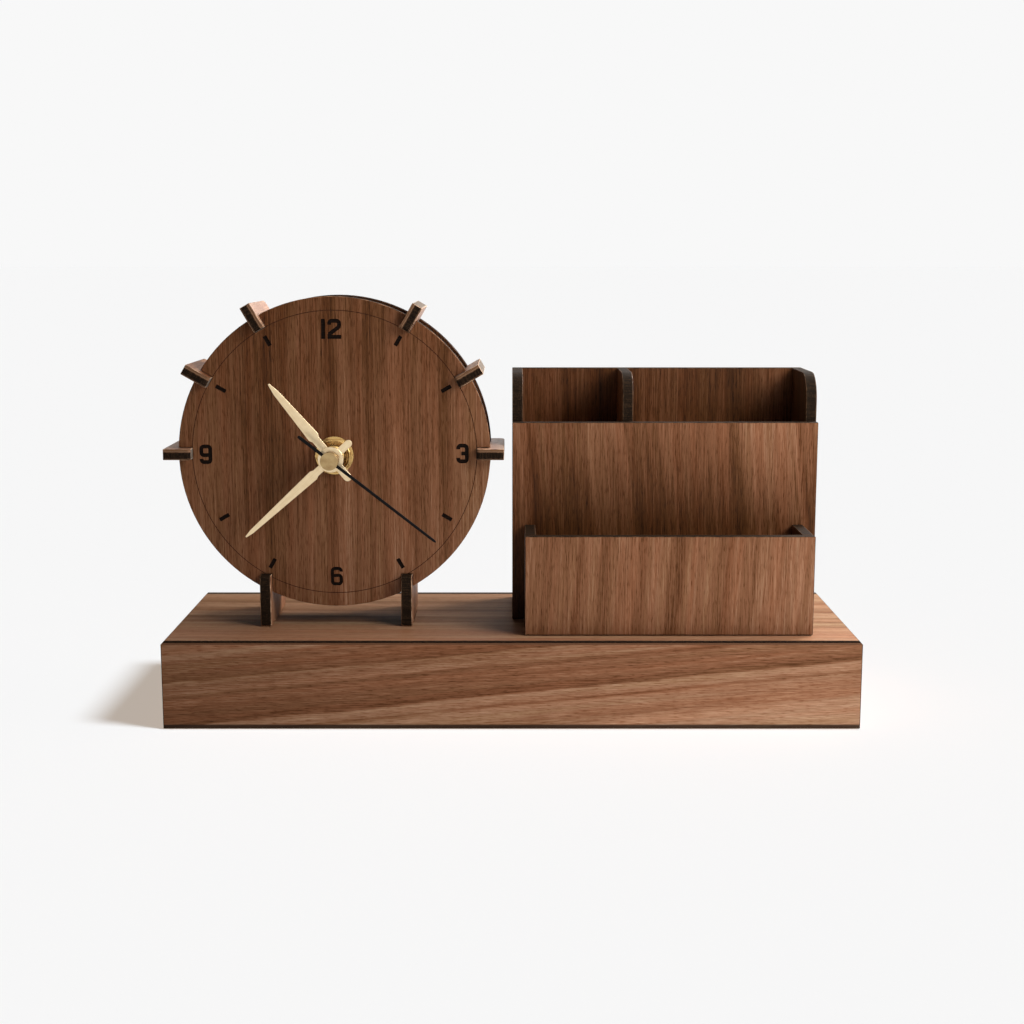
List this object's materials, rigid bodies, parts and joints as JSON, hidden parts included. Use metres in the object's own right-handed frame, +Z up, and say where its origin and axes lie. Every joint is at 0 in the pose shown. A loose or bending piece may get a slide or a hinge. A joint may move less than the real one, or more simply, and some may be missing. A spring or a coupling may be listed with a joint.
{
  "type": "pen holder clock",
  "caption": "Desk clock with a round dial on two legs beside a divided pen holder and a card tray, all on one low base.",
  "frame": {"origin": "on the surface the object stands on, under the middle of its bounding box", "axes": "+X to the right as the dial is read, +Y away from the reader, +Z up"},
  "size_m": [0.2518, 0.084, 0.1534],
  "materials": {
    "walnut": "oiled walnut veneer with laser-burnt edges",
    "rubber": "matt",
    "brass": "satin",
    "black_metal": "satin black",
    "black_plastic": "fine texture",
    "white_plastic": "moulded",
    "steel": "bright",
    "copper_wire": "enamelled",
    "circuit_laminate": "solder resist",
    "battery_sleeve": "plain printed sleeve"
  },
  "bodies": {
    "stand": {"base_top": "walnut", "base_front": "walnut", "base_back": "walnut", "base_left": "walnut", "base_right": "walnut", "base_bottom": "walnut", "rubber_foot_1": "rubber", "rubber_foot_2": "rubber", "rubber_foot_3": "rubber", "rubber_foot_4": "rubber", "dial_disc": "walnut", "back_disc": "walnut", "hour_tab_1": "walnut", "hour_tab_2": "walnut", "hour_tab_3": "walnut", "hour_tab_9": "walnut", "hour_tab_10": "walnut", "hour_tab_11": "walnut", "left_leg": "walnut", "right_leg": "walnut", "holder_front_panel": "walnut", "holder_back_panel": "walnut", "holder_left_panel": "walnut", "holder_right_panel": "walnut", "holder_divider": "walnut", "tray_front_panel": "walnut", "tray_left_panel": "walnut", "tray_right_panel": "walnut", "movement_case": "black_plastic", "movement_back_cover": "black_plastic", "threaded_bush": "brass", "rubber_washer": "rubber", "brass_washer": "brass", "hex_nut": "brass", "battery": "battery_sleeve", "battery_contact_positive": "steel", "battery_contact_negative": "steel", "circuit_board": "circuit_laminate", "quartz_crystal": "steel", "stator": "steel", "coil_core": "steel", "coil": "copper_wire"},
    "second_hand": {"second_hand": "black_metal", "second_hand_cap": "brass", "seconds_wheel": "steel"},
    "minute_hand": {"minute_hand": "brass", "minute_arbor": "brass"},
    "hour_hand": {"hour_hand": "brass", "hour_wheel": "brass"},
    "rotor": {"rotor": "steel"},
    "fifth_wheel": {"fifth_wheel": "white_plastic"},
    "third_wheel": {"third_wheel": "white_plastic"},
    "centre_wheel": {"centre_wheel": "white_plastic"},
    "minute_wheel": {"minute_wheel": "white_plastic"},
    "setting_knob": {"setting_knob": "white_plastic"}
  },
  "joints": [
    {"name": "second_hand_spin", "type": "hinge", "parent": "stand", "child": "second_hand", "pos_m": [-0.0639, 0, 0.0957], "axis": [0, 1, 0], "continuous": true},
    {"name": "minute_hand_spin", "type": "hinge", "parent": "stand", "child": "minute_hand", "pos_m": [-0.0639, 0, 0.0957], "axis": [0, 1, 0], "continuous": true},
    {"name": "hour_hand_spin", "type": "hinge", "parent": "stand", "child": "hour_hand", "pos_m": [-0.0639, 0, 0.0957], "axis": [0, 1, 0], "continuous": true},
    {"name": "rotor_spin", "type": "hinge", "parent": "stand", "child": "rotor", "pos_m": [-0.0639, 0, 0.10818], "axis": [0, 1, 0], "continuous": true},
    {"name": "fifth_wheel_spin", "type": "hinge", "parent": "stand", "child": "fifth_wheel", "pos_m": [-0.0639, 0, 0.1029], "axis": [0, 1, 0], "continuous": true},
    {"name": "third_wheel_spin", "type": "hinge", "parent": "stand", "child": "third_wheel", "pos_m": [-0.0711, 0, 0.0957], "axis": [0, 1, 0], "continuous": true},
    {"name": "centre_wheel_spin", "type": "hinge", "parent": "stand", "child": "centre_wheel", "pos_m": [-0.0639, 0, 0.0957], "axis": [0, 1, 0], "continuous": true},
    {"name": "minute_wheel_spin", "type": "hinge", "parent": "stand", "child": "minute_wheel", "pos_m": [-0.0579, 0, 0.0957], "axis": [0, 1, 0], "continuous": true},
    {"name": "setting_knob_spin", "type": "hinge", "parent": "stand", "child": "setting_knob", "pos_m": [-0.0519, 0, 0.0957], "axis": [0, 1, 0], "continuous": true}
  ],
  "couplings": [
    {"joint": "rotor_spin", "follows": "second_hand_spin", "ratio": 30},
    {"joint": "fifth_wheel_spin", "follows": "second_hand_spin", "ratio": -3},
    {"joint": "third_wheel_spin", "follows": "second_hand_spin", "ratio": -0.13333},
    {"joint": "centre_wheel_spin", "follows": "second_hand_spin", "ratio": 0.016667},
    {"joint": "minute_wheel_spin", "follows": "minute_hand_spin", "ratio": -0.33333},
    {"joint": "hour_hand_spin", "follows": "minute_hand_spin", "ratio": 0.083333},
    {"joint": "setting_knob_spin", "follows": "minute_hand_spin", "ratio": 1}
  ]
}
